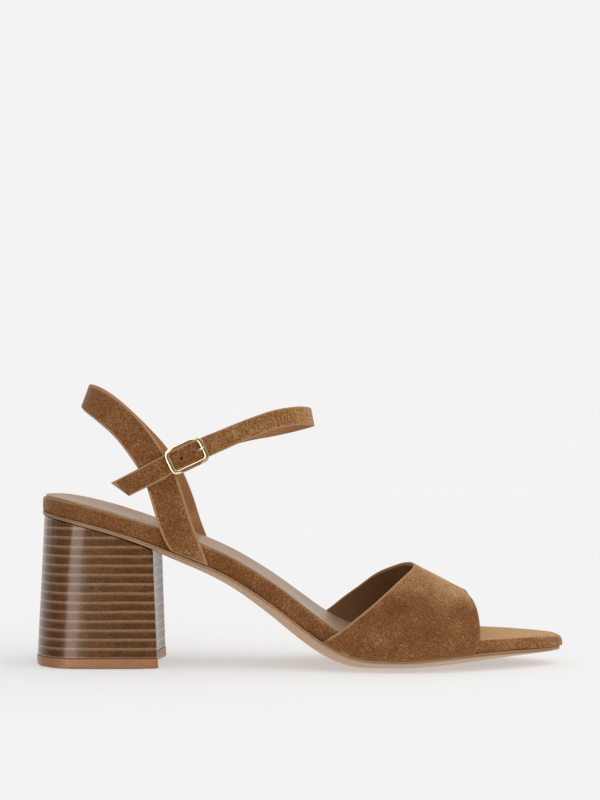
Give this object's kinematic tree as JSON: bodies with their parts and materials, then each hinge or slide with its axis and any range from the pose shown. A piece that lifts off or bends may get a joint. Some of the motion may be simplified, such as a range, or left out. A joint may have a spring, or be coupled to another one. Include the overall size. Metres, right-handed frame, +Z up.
{
  "type": "block heel sandal",
  "caption": "Open-toe suede sandal with a stacked block heel, one broad vamp strap, a heel sling and a buckled ankle strap.",
  "frame": {"origin": "on the floor, under the middle of the heel tip's flat bottom face", "axes": "+X to the toe, +Y to the inner side of the foot, +Z up from the floor"},
  "size_m": [0.2422, 0.0797, 0.1285],
  "materials": {
    "outsole": "matte moulded tan",
    "footbed": "brown suede",
    "insole_sock": "smooth taupe lining",
    "vamp_strap": "brown suede with dark lining",
    "heel_and_ankle_strap": "brown suede with brown lining",
    "heel_block": "gloss dark brown stack look with tan lines",
    "heel_tip": "satin tan",
    "buckle_frame": "polished pale gold",
    "buckle_prong": "polished pale gold"
  },
  "bodies": {
    "root": {"outsole": "outsole", "footbed": "footbed", "insole_sock": "insole_sock", "vamp_strap": "vamp_strap", "heel_and_ankle_strap": "heel_and_ankle_strap", "heel_block": "heel_block", "heel_tip": "heel_tip", "buckle_frame": "buckle_frame", "buckle_prong": "buckle_prong"}
  },
  "joints": []
}
